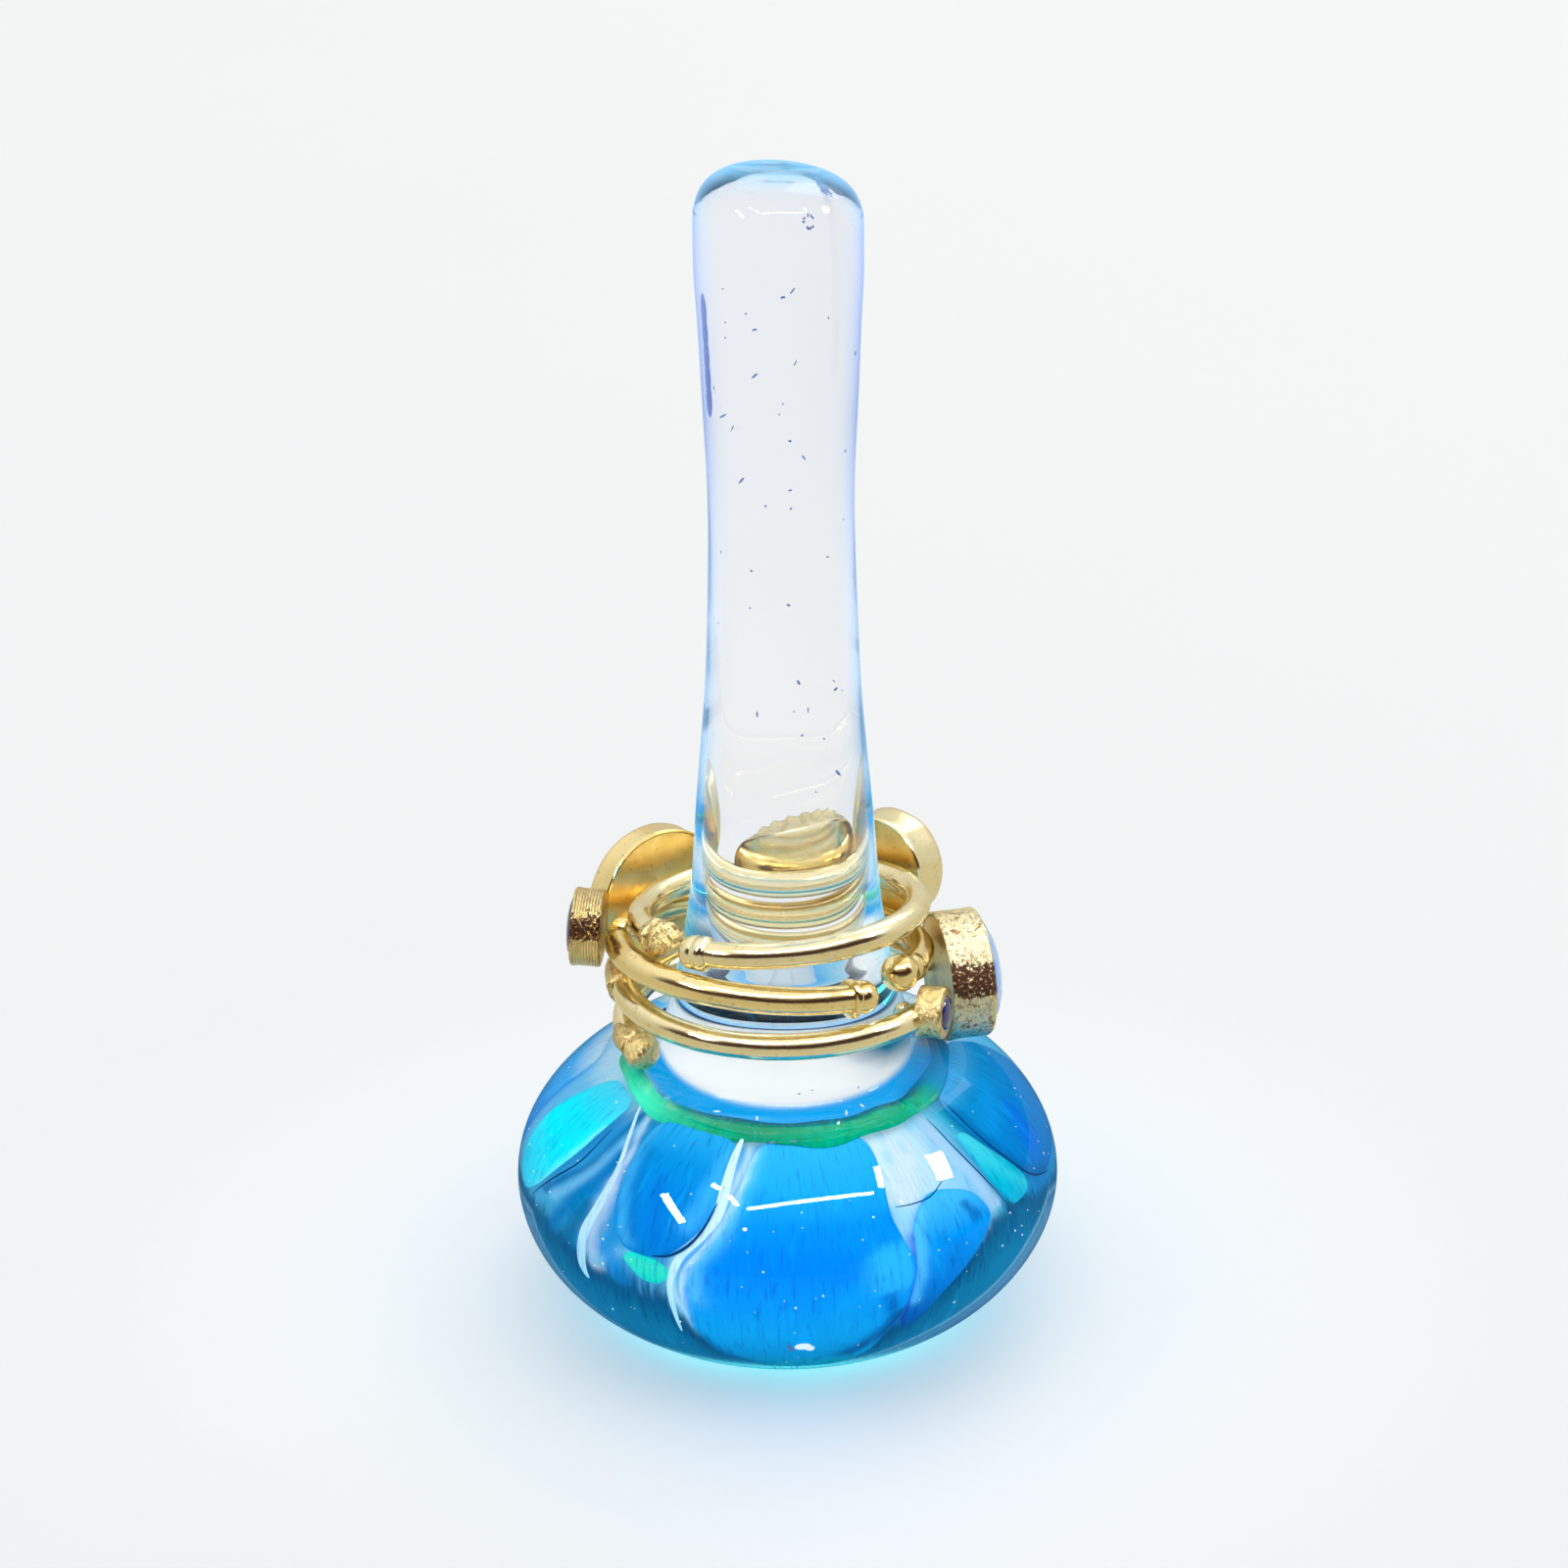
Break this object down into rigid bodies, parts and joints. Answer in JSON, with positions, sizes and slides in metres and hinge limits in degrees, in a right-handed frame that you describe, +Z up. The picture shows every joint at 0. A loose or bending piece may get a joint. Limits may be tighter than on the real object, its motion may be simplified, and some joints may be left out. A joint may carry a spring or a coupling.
{
  "type": "ring holder",
  "caption": "Glass ring holder: a round flat-footed base cased over coloured petals, with a clear bulb-topped post that open wire rings with set stones slide onto.",
  "frame": {"origin": "centre of the ground foot, on the surface that the holder stands on", "axes": "+Z up the post, which is the long axis; -Y is the side that the free ends of the rings face; +X is the right-hand side seen from there"},
  "size_m": [0.038, 0.038, 0.082],
  "materials": {
    "clear_glass": "clear hot-worked glass, cool tint at its edges",
    "blue_glass": "transparent azure blue",
    "cyan_glass": "transparent turquoise",
    "teal_glass": "transparent deep teal",
    "green_glass": "transparent emerald green",
    "pale_gold": "polished pale gold with light hammering",
    "warm_gold": "polished warm gold",
    "moonstone": "milky light blue faceted stone",
    "sapphire": "dark blue stone"
  },
  "bodies": {
    "glass_holder": {"base_casing": "clear_glass", "base_core": "clear_glass", "blue_petal_back": "blue_glass", "blue_petal_front": "blue_glass", "blue_petal_front_left": "blue_glass", "blue_petal_front_right": "blue_glass", "blue_petal_left_back": "blue_glass", "blue_petal_right": "blue_glass", "cyan_petal_back_right": "cyan_glass", "cyan_petal_left": "cyan_glass", "green_collar_band": "green_glass", "green_petal_fleck": "green_glass", "post": "clear_glass", "teal_petal_back_left": "teal_glass", "teal_petal_right": "teal_glass"},
    "ring_bottom": {"ring_bottom_accent_cup": "pale_gold", "ring_bottom_back_plate": "pale_gold", "ring_bottom_back_shank": "pale_gold", "ring_bottom_bezel_wall": "pale_gold", "ring_bottom_front_ball": "pale_gold", "ring_bottom_front_shank": "pale_gold", "ring_bottom_hidden_ball": "pale_gold", "ring_bottom_moonstone": "moonstone", "ring_bottom_sapphire": "sapphire", "ring_bottom_solder_bead": "pale_gold"},
    "ring_middle": {"ring_middle_accent_cup": "warm_gold", "ring_middle_back_plate": "warm_gold", "ring_middle_back_shank": "warm_gold", "ring_middle_bezel_wall": "warm_gold", "ring_middle_front_ball": "warm_gold", "ring_middle_front_shank": "warm_gold", "ring_middle_moonstone": "moonstone", "ring_middle_sapphire": "sapphire", "ring_middle_side_ball": "warm_gold", "ring_middle_solder_bead": "warm_gold"},
    "ring_top": {"ring_top_accent_cup": "pale_gold", "ring_top_back_plate": "pale_gold", "ring_top_bezel_wall": "pale_gold", "ring_top_cap_end": "pale_gold", "ring_top_moonstone": "moonstone", "ring_top_nugget_end": "pale_gold", "ring_top_sapphire": "sapphire", "ring_top_shank": "pale_gold", "ring_top_solder_bead": "pale_gold"}
  },
  "joints": [
    {"name": "ring_bottom_lift", "type": "slide", "parent": "glass_holder", "child": "ring_bottom", "axis": [0, 0, 1], "range_m": [0, 0.066]},
    {"name": "ring_middle_lift", "type": "slide", "parent": "ring_bottom", "child": "ring_middle", "axis": [0, 0, 1], "range_m": [0, 0.063]},
    {"name": "ring_top_lift", "type": "slide", "parent": "ring_middle", "child": "ring_top", "axis": [0, 0, 1], "range_m": [0, 0.06]}
  ]
}
